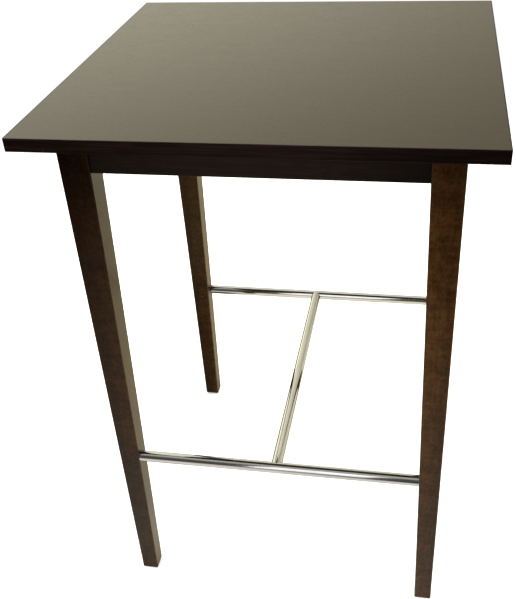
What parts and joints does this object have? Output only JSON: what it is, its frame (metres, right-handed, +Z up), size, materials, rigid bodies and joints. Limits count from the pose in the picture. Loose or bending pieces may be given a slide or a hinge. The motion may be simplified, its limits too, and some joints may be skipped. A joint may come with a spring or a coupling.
{
  "type": "pub table",
  "caption": "Square bar-height table with a dark wood top, square legs tapered on their inner faces, low set-back aprons and an H-shaped chrome tube footrest.",
  "frame": {"origin": "on the floor, under the centre of the top", "axes": "+Z up; -Y towards the front of the table; +X to the right of someone facing the front"},
  "size_m": [0.75, 0.75, 1.062],
  "materials": {
    "espresso_top": "dark espresso stain under a satin lacquer, fine straight grain",
    "espresso_band": "dark espresso stain under a satin lacquer, grain along the edge",
    "espresso_apron": "dark espresso stain under a satin lacquer",
    "espresso_leg": "dark espresso stain under a satin lacquer, mottled brown",
    "espresso_backing": "dark stained backing sheet, dull",
    "board_core": "raw fibreboard",
    "chrome_tube": "polished chrome plate",
    "zinc_steel": "pressed steel, zinc plated",
    "zinc_bolt": "turned steel, zinc plated",
    "zinc_screw": "steel, yellow zinc plated",
    "dark_screw": "steel, bronze black oxide",
    "nylon_plug": "moulded black nylon",
    "nylon_glide": "moulded brown nylon"
  },
  "bodies": {
    "root": {"apron_back": "espresso_apron", "apron_front": "espresso_apron", "apron_left": "espresso_apron", "apron_right": "espresso_apron", "bracket_screws": "zinc_screw", "corner_bracket_back_left": "zinc_steel", "corner_bracket_back_right": "zinc_steel", "corner_bracket_front_left": "zinc_steel", "corner_bracket_front_right": "zinc_steel", "cross_rail": "chrome_tube", "cross_rail_plugs": "nylon_plug", "edge_band_back": "espresso_band", "edge_band_front": "espresso_band", "edge_band_left": "espresso_band", "edge_band_right": "espresso_band", "foot_rail_back": "chrome_tube", "foot_rail_front": "chrome_tube", "foot_rail_plugs": "nylon_plug", "glide_nails": "zinc_screw", "hanger_bolt_nuts": "zinc_bolt", "hanger_bolt_washers": "zinc_bolt", "hanger_bolts": "zinc_bolt", "leg_back_left": "espresso_leg", "leg_back_right": "espresso_leg", "leg_front_left": "espresso_leg", "leg_front_right": "espresso_leg", "leg_glides": "nylon_glide", "rail_lock_screws": "dark_screw", "tabletop_backing": "espresso_backing", "tabletop_core": "board_core", "tabletop_veneer": "espresso_top", "top_angle_brackets": "zinc_steel", "top_bracket_screws": "zinc_screw"}
  },
  "joints": []
}
